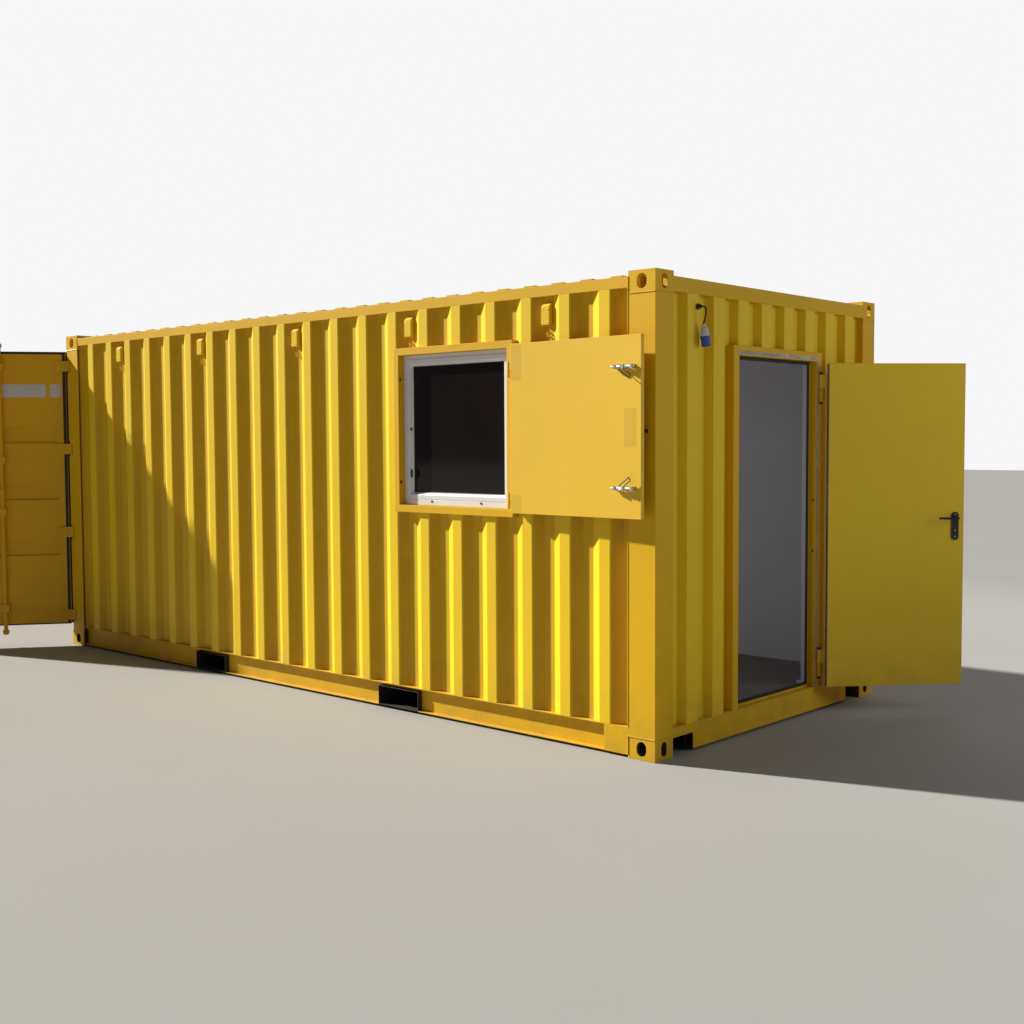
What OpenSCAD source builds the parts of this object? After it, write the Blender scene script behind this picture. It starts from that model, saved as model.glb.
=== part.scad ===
// Shipping container cabin: a 20 ft steel container with a personnel door, a shuttered
// window and its own cargo doors.
// Millimetres, +Z up. X runs along the length, the personnel door is at +X, the window at -Y.
// The origin is on the ground, in the middle of the footprint.

/* [Container] */
// overall length over the corner castings
body_len = 6058; // [5900:1:6200]
// overall width over the corner castings
body_wid = 2438; // [2350:1:2550]
// overall height over the corner castings
body_ht = 2591; // [2530:1:2896]
// thickness of the wall and roof sheets
sheet_t = 2; // [1.6:0.1:3]
// how far the rails sit below the top of the castings
rail_drop = 27; // [24:1:32]
// height of the top side rail
rail_ht = 60; // [50:1:70]
// height of the end header
header_ht = 80; // [70:1:90]
// level of the top of the floor
floor_top = 168; // [160:1:175]

/* [Side walls] */
// pitch of the side wall waves
side_pitch = 280.5; // [270:0.5:290]
// flat width of a side wave crest
side_crest = 72; // [60:1:80]
// width of a side wave slope
side_slope = 68; // [60:1:74]
// depth of the side waves
side_depth = 36; // [30:1:38]
// how far the middle wave valley sits towards the door end
side_shift = 26.5; // [20:0.5:50]
// pitches between two ventilators
vent_step = 4; // [3:1:5]

/* [End wall] */
// pitch of the end wall waves
end_pitch = 250; // [240:1:260]
// flat width of an end wave crest
end_crest = 110; // [95:1:120]
// width of an end wave slope
end_slope = 18; // [14:1:24]
// depth of the end waves
end_depth = 45.6; // [40:0.2:46]

/* [Personnel door] */
// hinge-side edge of the door leaf
door_hinge_y = 455; // [440:1:460]
// width of the door leaf
door_wid = 868; // [800:1:900]
// bottom of the door leaf
door_low = 165; // [163:1:170]
// height of the door leaf
door_tall = 2001; // [1800:1:2020]
// thickness of the door leaf
door_t = 42; // [36:1:44]
// opening angle of the door leaf
door_open = 138; // [100:1:160]
// distance of the handle from the free edge
handle_in = 57; // [50:1:70]
// height of the lever above the ground
lever_z = 1208; // [1150:1:1250]

/* [Window] */
// left outer edge of the window surround
win_left = 1044; // [1000:1:1060]
// width of the window surround
win_wid = 996; // [850:1:1000]
// bottom of the window surround
win_low = 1264; // [1100:1:1300]
// height of the window surround
win_tall = 1012; // [850:1:1040]
// face width of the surround
ring_w = 42; // [36:1:50]
// how far the surround stands out from the wall
ring_out = 20; // [15:1:25]
// face width of the white window frame
frame_w = 68; // [55:1:75]
// thickness of the shutter
shutter_t = 25; // [20:1:28]
// opening angle of the shutter
shutter_open = 178; // [120:1:179]

/* [Cargo doors] */
// height of a cargo door leaf
leaf_tall = 2280; // [2220:1:2282]
// thickness of a cargo door leaf
leaf_t = 50; // [45:1:52]
// opening angle of the right leaf
leaf_open = 144; // [90:1:200]
// distance of the outer lock rod from the hinge edge
rod_first = 520; // [440:1:540]
// distance between the two rods of a leaf
rod_gap = 440; // [380:1:500]
// radius of a lock rod
rod_r = 17; // [14:1:17]

/* [Supply cord] */
// sideways place of the cable gland
gland_y = -838; // [-870:1:-825]
// height of the cable gland
gland_z = 2419; // [2300:1:2430]
// radius of the cord
cord_r = 4.5; // [4:0.5:7]
// tilt of the hanging plug
plug_tilt = 13; // [0:1:20]

/* [Hidden] */

hx = body_len / 2;
hy = body_wid / 2;

paint = [0.86, 0.66, 0.10];
dark = [0.12, 0.12, 0.13];
grey = [0.62, 0.63, 0.64];
white = [0.92, 0.92, 0.90];

// corner castings
cast_x = 178;
cast_y = 162;
cast_z = 118;
cast_wall = 28;
cast_in = 14;
slot_w = 63.5;
slot_l = 124;
slot_in_x = 102.5;
slot_in_y = 89.5;
side_hole_w = 63.5;
end_hole_w = 51;
hole_tall = 79.5;

// frame
post_t = 6;
in_x = hx - cast_x;
in_y = hy - cast_y;
rail_top = body_ht - rail_drop;
rail_low = rail_top - rail_ht;
header_low = rail_top - header_ht;
rail_t = 4;
side_low = 165;
web_in = 40;
rail_base = 15;
sill_top = 157;
sill_d = 60;
notch_y = 190;
notch_z = 105;
plate_len = 164;
lower_flange = 35;

// floor
board_t = 28;
beam_top = floor_top - board_t;
beam_ht = 122;
beam_w = 45;
beam_t = 4;
beam_step = 300;
pocket_x = 1025;
pocket_w = 360;
pocket_ht = 115;
pocket_t = 4;
pocket_low = 20;
strap_w = 200;
web_y = hy - web_in;

// lining
lining_t = 25;
lining_top = 2440;
ceiling_t = 18;
trim_t = 4;
side_face = hy - side_depth - sheet_t;
end_face = hx - end_depth - sheet_t;
room_y = side_face - lining_t;
room_x = end_face - lining_t;

// personnel door frame
frame_out = 2;
frame_t = 4;
door_gap = 7;
frame_face = hx + frame_out;
pin_x = hx + 16;
pin_y = door_hinge_y + 35;
pin_r = 5;
barrel_r = 11;
leaf_face = hx + 8;
door_free_y = door_hinge_y - door_wid;
door_top = door_low + door_tall;
open_hinge = door_hinge_y - 25;
open_free = door_free_y + 28;
open_low = door_low + 18;
open_top = door_top + 1;
band_left = door_free_y - 65;
band_right = door_hinge_y + 65;
band_top = door_top + 68;
hinge_tall = 84;
hinge_z1 = 307;
hinge_z2 = 2015;
dog_hole_r = 7;
gasket_t = 4;

// door lock
plate_w = 46;
plate_tall = 176;
plate_t = 6;
lever_r = 7;
lever_len = 128;
lever_out = 48;
spindle_r = 6;
lever_y = door_free_y + handle_in;
plate_mid = lever_z - 50;

// window
ring_t = 4;
ring_front = hy + ring_out;
win_right = win_left + win_wid;
win_top = win_low + win_tall;
pane_l = win_left + ring_w;
pane_r = win_right - ring_w;
pane_b = win_low + ring_w + 2;
pane_t = win_top - ring_w - 2;
win_set = 40;
win_depth = 60;
glass_set = 31;
glass_t = 24;
bead = 10;
bottom_extra = 10;

// shutter
shut_gap = 5;
shut_pin_x = win_right - 10;
shut_pin_y = ring_front + shut_gap + shutter_t / 2;
shut_lap = 9;
shut_lap_free = 26;
shut_wid = pane_r - pane_l + shut_lap + shut_lap_free;
shut_right = pane_r + shut_lap;
shut_low = pane_b - 18;
shut_tall = pane_t - pane_b + 36;
shut_knuckle = 9;
shut_pin_r = 4;
bolt_r = 8;
bolt_set = 22;
shut_hinge_z = [shut_low + 70, shut_low + shut_tall - 145];
latch_z1 = 1450;
wire_len = 94;
latch_z2 = 2085;

// cargo doors
cargo_pin_x = hx - 24;
cargo_pin_y = hy - 14;
cargo_pin_r = 8;
boss_r = 14;
blade_tall = 87;
lug_t = 14;
leaf_outer = hx - 50;
leaf_hinge = hy - 54;
leaf_mid = 6;
leaf_low = 173;
leaf_wid = leaf_hinge - leaf_mid;
leaf_top = leaf_low + leaf_tall;
cargo_seal = 12;
seal_lip = 30;
seal_rise = 14;
head_gap = 20;
seal_x = leaf_outer - leaf_t - cargo_seal;
post_out = hx - 10;
post_w = 49;
sill_face = hx - 52;
sill_depth = 80;
leaf_skin = 3;
leaf_rim = 60;
tray_tall = 136;
tray_deep = 16;
tray_in = 77;
tray_z = [826, 1295, 1770];
hinge_z = [251, 952, 1652, 2344];
rod_x = leaf_outer + 4 + rod_r;
rod_low = 100;
arm_len = 350;
arm_z = [1290, 1220];
rod_top = rail_top - 30;
cam_half = 24;
keeper_gap = 7;
keeper_t = 8;

// ventilators
vent_w = 56;
vent_tall = 108;
vent_low = 2347;
vent_deep = 32;
ring_z = 2294;

// supply cord
gland_len = 26;
gland_r = 13;
crest_x = hx;
plug_x = crest_x + 36;
plug_y = gland_y + 6;
plug_z = gland_z - 94;
cord_sides = 10;
cord_steps = 14;

function wave(n, pitch, crest, slope, depth, k, t) =
    [for (i = [-n:n - 1], s = [0:3])
        let (c = (i + 0.5) * pitch, half = crest / 2)
        [c + [-half - slope + k, -half + k, half - k, half + slope - k][s],
            [depth, 0, 0, depth][s] + t]];

function back_of(list) = [for (i = [len(list) - 1:-1:0]) list[i]];

function lean(depth, slope, t) = t * tan(atan2(depth, slope) / 2);

module wave_sheet(n, pitch, crest, slope, depth, low, high) {
    k = lean(depth, slope, sheet_t);
    translate([0, 0, low])
        linear_extrude(high - low)
            polygon(concat(wave(n, pitch, crest, slope, depth, 0, 0),
                back_of(wave(n, pitch, crest, slope, depth, k, sheet_t))));
}

module box(x0, x1, y0, y1, z0, z1) {
    translate([x0, y0, z0])
        cube([x1 - x0, y1 - y0, z1 - z0]);
}

module both_sides() {
    children();
    mirror([0, 1, 0])
        children();
}

module both_ends() {
    children();
    mirror([1, 0, 0])
        children();
}

module four_corners() {
    both_ends()
        both_sides()
            children();
}

// rounded slot cut along Z, long axis along X
module slot_cut(long, wide, deep) {
    translate([0, 0, -deep / 2])
        linear_extrude(deep)
            union() {
                square([long - wide, wide], center = true);
                for (s = [-1, 1])
                    translate([s * (long - wide) / 2, 0])
                        circle(d = wide, $fn = 48);
            }
}

// casting at the +X +Y corner, bottom at low
module casting(low, flip) {
    mid_x = hx - cast_x / 2;
    mid_y = hy - cast_y / 2;
    mid_z = low + cast_z / 2;
    outer_z = flip ? low : low + cast_z - cast_wall;
    difference() {
        box(in_x, hx, in_y, hy, low, low + cast_z);
        box(in_x + cast_in, hx - cast_wall, in_y + cast_in, hy - cast_wall,
            low + (flip ? cast_wall : cast_in), low + cast_z - (flip ? cast_in : cast_wall));
        translate([hx - slot_in_x, hy - slot_in_y, outer_z + cast_wall / 2])
            slot_cut(slot_l, slot_w, cast_wall + 2);
        translate([mid_x, hy - cast_wall / 2, mid_z])
            rotate([90, 90, 0])
                slot_cut(hole_tall, side_hole_w, cast_wall + 2);
        translate([hx - cast_wall / 2, mid_y, mid_z])
            rotate([0, 90, 0])
                slot_cut(hole_tall, end_hole_w, cast_wall + 2);
    }
}

module bottom_castings() {
    color(paint)
        four_corners()
            casting(0, true);
}

module top_castings() {
    color(paint)
        four_corners()
            casting(body_ht - cast_z, false);
}

module door_end_posts() {
    low = cast_z;
    high = body_ht - cast_z;
    color(paint)
        both_sides() {
            box(in_x, hx, hy - post_t, hy, low, high);
            box(hx - post_t, hx, in_y, hy, low, high);
            box(in_x, in_x + post_t, side_face, hy, low, high);
            box(end_face, hx, in_y, in_y + post_t, low, high);
        }
}

// post lugs and pin at one height, for the +Y side of the cargo end
module post_hinge(z) {
    half = blade_tall / 2 + 2.5;
    for (s = [-1, 1])
        translate([0, 0, z + s * (half + lug_t / 2) - lug_t / 2])
            linear_extrude(lug_t)
                union() {
                    translate([-cargo_pin_x, cargo_pin_y])
                        circle(r = boss_r, $fn = 48);
                    translate([-cargo_pin_x, cargo_pin_y - 10])
                        square([cargo_pin_x - (post_out - 54), 24]);
                }
    translate([-cargo_pin_x, cargo_pin_y, z - half - lug_t])
        cylinder(r = cargo_pin_r, h = 2 * (half + lug_t), $fn = 48);
}

module cargo_post() {
    low = cast_z;
    high = body_ht - cast_z;
    difference() {
        union() {
            box(-post_out, -in_x, hy - 8, hy, low, high);
            box(-seal_x, -seal_x + 8, hy - post_w, hy, low, high);
            box(-seal_x, -in_x, hy - post_w, hy - post_w + 8, low, high);
        }
        for (z = hinge_z)
            box(-hx, -post_out + 54, hy - 40, hy + 1, z - 62, z + 62);
    }
    for (z = hinge_z)
        post_hinge(z);
}

module cargo_end_posts() {
    color(paint)
        both_sides()
            cargo_post();
}

module top_side_rails() {
    color(paint)
        both_sides()
            difference() {
                box(-in_x, in_x, hy - rail_ht, hy, rail_low, rail_top);
                box(-in_x - 1, in_x + 1, hy - rail_ht + rail_t, hy - rail_t,
                    rail_low + rail_t, rail_top - rail_t);
            }
}

module bottom_side_rails() {
    cut = pocket_w / 2 + pocket_t;
    color(paint)
        both_sides()
            difference() {
                union() {
                    box(-in_x, in_x, web_y - 5, web_y, rail_base, side_low);
                    box(-in_x, in_x, web_y - 5, hy, side_low - 5, side_low);
                    box(-in_x, in_x, web_y - 5, web_y + lower_flange, rail_base,
                        rail_base + 5);
                    box(in_x - plate_len, in_x, hy - 6, hy, rail_base, side_low - 5);
                }
                for (s = [-1, 1])
                    box(s * pocket_x - cut, s * pocket_x + cut, web_y - 10,
                        web_y + lower_flange + 5, rail_base - 1,
                        pocket_low + pocket_ht + pocket_t);
            }
}

// hollow beam across the container between two X planes
module end_beam(x0, x1, low, high, wall) {
    difference() {
        box(x0, x1, -in_y, in_y, low, high);
        box(x0 + wall, x1 - wall, -in_y - 1, in_y + 1, low + wall, high - wall);
    }
}

module rod_keepers(low, high) {
    half = cam_half + keeper_gap;
    both_sides()
        for (i = [0:1])
            let (y = leaf_hinge - rod_first - i * rod_gap)
                for (s = [-1, 1])
                    box(-rod_x - 8, -sill_face, y + s * (half + keeper_t / 2) - keeper_t / 2,
                        y + s * (half + keeper_t / 2) + keeper_t / 2, low, high);
}

module end_headers() {
    color(paint) {
        end_beam(hx - sill_d, hx, header_low, rail_top, rail_t);
        end_beam(-sill_face, -sill_face + sill_depth, leaf_top + head_gap, rail_top,
            rail_t);
        rod_keepers(leaf_top + head_gap, leaf_top + head_gap + 50);
    }
}

module end_sills() {
    color(paint) {
        difference() {
            end_beam(hx - sill_d, hx, rail_base, sill_top, 5);
            both_sides()
                box(hx - sill_d - 1, hx + 1, in_y - notch_y, in_y + 1, 0, notch_z);
        }
        end_beam(-sill_face, -sill_face + sill_depth, rail_base, leaf_low - 8, 5);
        rod_keepers(105, 150);
    }
}

module cross_members() {
    count = floor((in_x - 60) / beam_step);
    color(dark)
        for (i = [-count:count])
            let (x = i * beam_step)
                if (abs(abs(x) - pocket_x) > pocket_w / 2 + pocket_t + beam_w)
                    difference() {
                        box(x, x + beam_w, -web_y + 5, web_y - 5, beam_top - beam_ht,
                            beam_top);
                        box(x + beam_t, x + beam_w + 1, -web_y, web_y,
                            beam_top - beam_ht + beam_t, beam_top - beam_t);
                    }
}

module fork_pockets() {
    half = pocket_w / 2 + pocket_t;
    reach = web_y + lower_flange;
    high = pocket_low + pocket_ht;
    color(dark)
        for (s = [-1, 1])
            translate([s * pocket_x, 0, 0]) {
                difference() {
                    box(-half, half, -reach, reach, rail_base, high + pocket_t);
                    box(-half + pocket_t, half - pocket_t, -reach - 1, reach + 1,
                        rail_base - 1, high);
                }
                both_sides()
                    box(-half, half, reach - strap_w, reach, rail_base, pocket_low);
            }
}

module floor_boards() {
    color([0.45, 0.33, 0.22])
        box(-hx + 140, room_x, -room_y, room_y, beam_top, floor_top);
}

module side_wave() {
    translate([side_shift, -hy, 0])
        wave_sheet(ceil(hx / side_pitch) + 1, side_pitch, side_crest, side_slope,
            side_depth, side_low, rail_low);
}

module side_piece(x0, x1, z0, z1) {
    color(paint)
        intersection() {
            side_wave();
            box(x0, x1, -hy - 1, -hy + side_depth + 4, z0, z1);
        }
}

module window_wall_left() {
    side_piece(-in_x, win_left, side_low, rail_low);
}

module window_wall_right() {
    side_piece(win_right, in_x, side_low, rail_low);
}

module window_wall_above() {
    side_piece(win_left, win_right, win_top, rail_low);
}

module window_wall_below() {
    side_piece(win_left, win_right, side_low, win_low);
}

module back_wall() {
    mirror([0, 1, 0])
        side_piece(-in_x, in_x, side_low, rail_low);
}

module end_piece(y0, y1, z0, z1) {
    color(paint)
        intersection() {
            translate([hx, 0, 0])
                rotate([0, 0, 90])
                    wave_sheet(ceil(hy / end_pitch) + 1, end_pitch, end_crest, end_slope,
                        end_depth, sill_top, header_low);
            box(hx - end_depth - 4, hx + 1, y0, y1, z0, z1);
        }
}

module end_wall_left() {
    end_piece(-in_y, band_left, sill_top, header_low);
}

module end_wall_right() {
    end_piece(band_right, in_y, sill_top, header_low);
}

module end_wall_above() {
    end_piece(band_left, band_right, band_top, header_low);
}

// roof sheet with pressed ribs across it
module roof_panel() {
    pitch = 209;
    rib = 104;
    slope = 13.5;
    rise = 17;
    edge = 60;
    count = floor((in_x - 40) / pitch);
    top = rail_top + sheet_t;
    rib_y = hy - 14 - edge;
    color(paint)
        difference() {
            union() {
                box(-in_x + 3, in_x - 3, -hy + 14, hy - 14, rail_top, top);
                both_ends()
                    box(in_x - 10, hx - 8, -in_y + 3, in_y - 3, rail_top, top);
                for (i = [-count:count])
                    translate([i * pitch, rib_y, top])
                        rotate([90, 0, 0])
                            linear_extrude(2 * rib_y)
                                polygon([[-rib / 2, -sheet_t], [rib / 2, -sheet_t],
                                    [rib / 2, 0], [rib / 2 - slope, rise],
                                    [slope - rib / 2, rise], [-rib / 2, 0]]);
            }
            for (i = [-count:count])
                translate([i * pitch, rib_y - sheet_t, rail_top])
                    rotate([90, 0, 0])
                        linear_extrude(2 * (rib_y - sheet_t))
                            polygon([[sheet_t - rib / 2, -1], [rib / 2 - sheet_t, -1],
                                [rib / 2 - sheet_t, 0], [rib / 2 - slope - sheet_t / 2, rise],
                                [slope + sheet_t / 2 - rib / 2, rise],
                                [sheet_t - rib / 2, 0]]);
        }
}

module window_side_lining() {
    color(grey)
        difference() {
            box(-in_x, room_x, -side_face, -room_y, floor_top, lining_top);
            box(pane_l, pane_r, -side_face - 1, -room_y + 1, pane_b, pane_t);
        }
}

module back_side_lining() {
    color(grey)
        box(-in_x, room_x, room_y, side_face, floor_top, lining_top);
}

module end_lining() {
    color(grey)
        difference() {
            box(room_x, end_face, -room_y - 20, room_y + 20, floor_top, lining_top);
            box(room_x - 1, end_face + 1, open_free - trim_t, open_hinge + trim_t,
                floor_top - 1, open_top + trim_t);
        }
}

module ceiling_lining() {
    color(white)
        box(-in_x, end_face, -room_y - 20, room_y + 20, lining_top, lining_top + ceiling_t);
}

module door_reveal() {
    color(white)
        difference() {
            box(room_x - 6, end_face, open_free - trim_t, open_hinge + trim_t, floor_top,
                open_top + trim_t);
            box(room_x - 7, end_face + 1, open_free, open_hinge, floor_top - 1, open_top);
        }
}

module window_surround() {
    y0 = -ring_front;
    y1 = -side_face;
    hole_y = ring_front + shut_gap - bolt_set;
    color(paint) {
        difference() {
            box(win_left, win_right, y0, y1, win_low, win_top);
            box(pane_l, pane_r, y0 - 1, y1 + 1, pane_b, pane_t);
            difference() {
                box(win_left + ring_t, win_right - ring_t, y0 + ring_t, y1 + 1,
                    win_low + ring_t, win_top - ring_t);
                box(pane_l - ring_t, pane_r + ring_t, y0, y1 + 2, pane_b - ring_t,
                    pane_t + ring_t);
            }
            for (z = [latch_z1, latch_z2])
                translate([pane_l - ring_t - 1, -hole_y, z])
                    rotate([0, 90, 0])
                        cylinder(r = bolt_r + 2, h = ring_t + 2, $fn = 48);
        }
        for (z = shut_hinge_z)
            surround_knuckle(z);
    }
}

// fixed half of a shutter hinge, with its pin
module surround_knuckle(z) {
    translate([shut_pin_x, -shut_pin_y, z - 45]) {
        cylinder(r = shut_knuckle, h = 44, $fn = 48);
        cylinder(r = shut_pin_r, h = 84, $fn = 48);
    }
    box(shut_pin_x - 5, shut_pin_x + 5, -shut_pin_y, -ring_front, z - 45, z - 1);
}

module window_frame() {
    y0 = -ring_front + win_set;
    color(white) {
        difference() {
            box(pane_l, pane_r, y0, y0 + win_depth, pane_b, pane_t);
            box(pane_l + frame_w, pane_r - frame_w, y0 - 1, y0 + win_depth + 1,
                pane_b + frame_w + bottom_extra, pane_t - frame_w);
            box(pane_l + frame_w - bead, pane_r - frame_w + bead, y0 + glass_set,
                y0 + win_depth + 1, pane_b + frame_w + bottom_extra - bead,
                pane_t - frame_w + bead);
        }
        for (x = [0.27, 0.73])
            translate([pane_l + x * (pane_r - pane_l), y0, pane_b + 35])
                rotate([90, 0, 0])
                    cylinder(r = 6, h = 3, $fn = 32);
    }
}

module window_glass() {
    y0 = -ring_front + win_set + glass_set;
    color([0.10, 0.11, 0.13])
        box(pane_l + frame_w - bead, pane_r - frame_w + bead, y0, y0 + glass_t,
            pane_b + frame_w + bottom_extra - bead, pane_t - frame_w + bead);
}

// everything on the shutter is drawn closed and swung open about its pin
module shutter_swing() {
    translate([shut_pin_x, -shut_pin_y, 0])
        rotate([0, 0, shutter_open])
            translate([-shut_pin_x, shut_pin_y, 0])
                children();
}

module shutter_panel() {
    color(paint)
        shutter_swing() {
            box(shut_right - shut_wid, shut_right, -ring_front - shut_gap - shutter_t,
                -ring_front - shut_gap, shut_low, shut_low + shut_tall);
            for (z = shut_hinge_z)
                difference() {
                    union() {
                        translate([shut_pin_x, -shut_pin_y, z])
                            cylinder(r = shut_knuckle, h = 44, $fn = 48);
                        box(shut_right - 40, shut_pin_x, -shut_pin_y - 5,
                            -shut_pin_y + 5, z, z + 44);
                    }
                    translate([shut_pin_x, -shut_pin_y, z - 1])
                        cylinder(r = shut_pin_r + 0.6, h = 46, $fn = 48);
                }
        }
}

// sliding bolt with a bent wire handle on the inner face of the shutter
module shutter_latch(z, turn) {
    x0 = pane_l + 6;
    y0 = -ring_front - shut_gap;
    y1 = y0 + bolt_set;
    for (x = [x0 + 6, x0 + 62, x0 + 120])
        box(x, x + 14, y0, y1 + bolt_r + 3, z - bolt_r - 3, z + bolt_r + 3);
    translate([x0, y1, z])
        rotate([0, 90, 0])
            cylinder(r = bolt_r, h = 150, $fn = 48);
    translate([x0 + 97, y1, z])
        rotate([0, turn, 0])
            translate([0, 0, -4]) {
                for (x = [-10, 10])
                    translate([x, 6, 0])
                        cylinder(r = 3, h = wire_len, $fn = 24);
                translate([-10, 6, wire_len])
                    rotate([0, 90, 0])
                        cylinder(r = 3, h = 20, $fn = 24);
            }
}

module shutter_latches() {
    color([0.78, 0.79, 0.80])
        shutter_swing() {
            shutter_latch(latch_z1, -55);
            shutter_latch(latch_z2, 235);
        }
}

module door_frame() {
    low = sill_top;
    left = door_free_y - door_gap;
    right = door_hinge_y + door_gap;
    head = door_top + 12;
    color(paint) {
        difference() {
            box(end_face, frame_face, band_left, band_right, low, band_top);
            box(end_face - 1, frame_face + 1, open_free, open_hinge, open_low, open_top);
            box(end_face + frame_t, frame_face + 1, left, right, low - 1, head);
            difference() {
                box(end_face - 1, frame_face - frame_t, band_left + frame_t,
                    band_right - frame_t, low - 1, band_top - frame_t);
                box(end_face - 2, frame_face, left - frame_t, right + frame_t, low - 2,
                    head + frame_t);
            }
            for (z = [1010, 1326])
                translate([hx - 20, right + frame_t + 1, z])
                    rotate([90, 0, 0])
                        cylinder(r = dog_hole_r, h = frame_t + 2, $fn = 32);
        }
        for (z = [hinge_z1, hinge_z2])
            frame_barrel(z);
    }
}

// fixed half of a door hinge, with its pin
module frame_barrel(z) {
    translate([pin_x, pin_y, z - hinge_tall]) {
        cylinder(r = barrel_r, h = hinge_tall - 1, $fn = 48);
        cylinder(r = pin_r, h = 2 * hinge_tall - 10, $fn = 48);
    }
    box(frame_face - 1, pin_x, pin_y - 5, pin_y + 5, z - hinge_tall, z - 1);
}

// everything on the door is drawn closed and swung open about its pin
module door_swing() {
    translate([pin_x, pin_y, 0])
        rotate([0, 0, door_open])
            translate([-pin_x, -pin_y, 0])
                children();
}

module door_leaf() {
    color(paint)
        door_swing()
            difference() {
                union() {
                    box(leaf_face - door_t, leaf_face, door_free_y, door_hinge_y,
                        door_low, door_top);
                    for (z = [hinge_z1, hinge_z2]) {
                        translate([pin_x, pin_y, z])
                            cylinder(r = barrel_r, h = hinge_tall, $fn = 48);
                        box(leaf_face, leaf_face + 8, door_hinge_y - 60, pin_y,
                            z, z + hinge_tall);
                    }
                }
                for (z = [hinge_z1, hinge_z2])
                    translate([pin_x, pin_y, z - 1])
                        cylinder(r = pin_r + 0.6, h = hinge_tall + 2, $fn = 48);
                translate([leaf_face - door_t - 1, lever_y, lever_z])
                    rotate([0, 90, 0])
                        cylinder(r = spindle_r + 1, h = door_t + 2, $fn = 32);
            }
}

// seal lying on the frame, round the opening
module door_gasket() {
    x0 = end_face + frame_t;
    near = 2;
    far = 10;
    color(dark)
        difference() {
            box(x0, x0 + gasket_t, open_free - far, open_hinge + far, open_low - far,
                open_top + far);
            box(x0 - 1, x0 + gasket_t + 1, open_free - near, open_hinge + near,
                open_low - near, open_top + near);
        }
}

// rounded plate on both faces of the leaf
module lock_plate(x) {
    translate([x, lever_y, plate_mid])
        rotate([0, 90, 0])
            slot_cut(plate_tall, plate_w, plate_t);
}

module door_lock() {
    color(dark)
        door_swing()
            difference() {
                union() {
                    lock_plate(leaf_face + plate_t / 2);
                    lock_plate(leaf_face - door_t - plate_t / 2);
                }
                translate([leaf_face - door_t - plate_t - 1, lever_y, lever_z])
                    rotate([0, 90, 0])
                        cylinder(r = spindle_r + 1, h = door_t + 2 * plate_t + 2, $fn = 32);
                translate([leaf_face - door_t - plate_t - 1, lever_y, lever_z - 78])
                    rotate([0, 90, 0])
                        cylinder(r = 5, h = door_t + 2 * plate_t + 2, $fn = 32);
            }
}

module door_lever() {
    x0 = leaf_face - door_t - plate_t - lever_out;
    x1 = leaf_face + plate_t + lever_out;
    color(dark)
        door_swing() {
            translate([x0, lever_y, lever_z])
                rotate([0, 90, 0])
                    cylinder(r = spindle_r, h = x1 - x0, $fn = 32);
            for (x = [x0 + lever_r, x1 - lever_r])
                translate([x, lever_y - 8, lever_z])
                    rotate([-90, 0, 0])
                        cylinder(r = lever_r, h = lever_len, $fn = 48);
            for (x = [leaf_face + plate_t + 2, leaf_face - door_t - plate_t - 14])
                translate([x, lever_y, lever_z])
                    rotate([0, 90, 0])
                        cylinder(r = 10, h = 12, $fn = 48);
        }
}

// one cargo leaf drawn closed on the +Y side, skin to the -X side
module cargo_leaf(bore) {
    y0 = leaf_mid;
    y1 = leaf_hinge;
    difference() {
        box(-leaf_outer, -leaf_outer + leaf_t, y0, y1, leaf_low, leaf_top);
        difference() {
            box(-leaf_outer + leaf_skin, -leaf_outer + leaf_t + 1, y0 + leaf_rim,
                y1 - leaf_rim, leaf_low + leaf_rim, leaf_top - leaf_rim);
            for (z = tray_z)
                box(-leaf_outer, -leaf_outer + tray_deep + leaf_skin, y0 + tray_in - leaf_skin,
                    y1 - tray_in + leaf_skin, z - tray_tall / 2 - leaf_skin,
                    z + tray_tall / 2 + leaf_skin);
        }
        for (z = tray_z)
            box(-leaf_outer - 1, -leaf_outer + tray_deep, y0 + tray_in, y1 - tray_in,
                z - tray_tall / 2, z + tray_tall / 2);
    }
    for (z = hinge_z)
        cargo_blade(z, bore);
}

module cargo_blade(z, bore) {
    reach = 82;
    strap = 10;
    px = -cargo_pin_x;
    py = cargo_pin_y;
    difference() {
        translate([0, 0, z - blade_tall / 2])
            linear_extrude(blade_tall)
                union() {
                    translate([px, py])
                        circle(r = boss_r, $fn = 48);
                    polygon([[px - 2, py - 8], [px + 13, py + 4],
                        [-leaf_outer, leaf_hinge + 12], [-leaf_outer, leaf_hinge - reach],
                        [-leaf_outer - strap, leaf_hinge - reach],
                        [-leaf_outer - strap, leaf_hinge + 6]]);
                }
        translate([px, py, z - blade_tall / 2 - 1])
            cylinder(r = bore, h = blade_tall + 2, $fn = 48);
    }
}

// rods, guides and handles of one leaf, drawn closed on the +Y side
module cargo_rods() {
    for (i = [0:1])
        let (y = leaf_hinge - rod_first - i * rod_gap) {
            translate([-rod_x, y, rod_low])
                cylinder(r = rod_r, h = rod_top - rod_low, $fn = 48);
            for (z = [rod_low + 8, rod_top - 40])
                box(-rod_x - 10, -rod_x + 10, y - cam_half, y + cam_half, z, z + 30);
            for (z = [290, 1100, 1530, 2300])
                box(-rod_x - rod_r - 3, -leaf_outer, y - 32, y + 32, z, z + 60);
            translate([-rod_x, y, arm_z[i] - 10])
                cylinder(r = rod_r + 3, h = 50, $fn = 48);
            box(-rod_x - rod_r - 9, -rod_x - rod_r + 3, i == 0 ? y - arm_len : y,
                i == 0 ? y : y + arm_len, arm_z[i], arm_z[i] + 30);
        }
}

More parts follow.
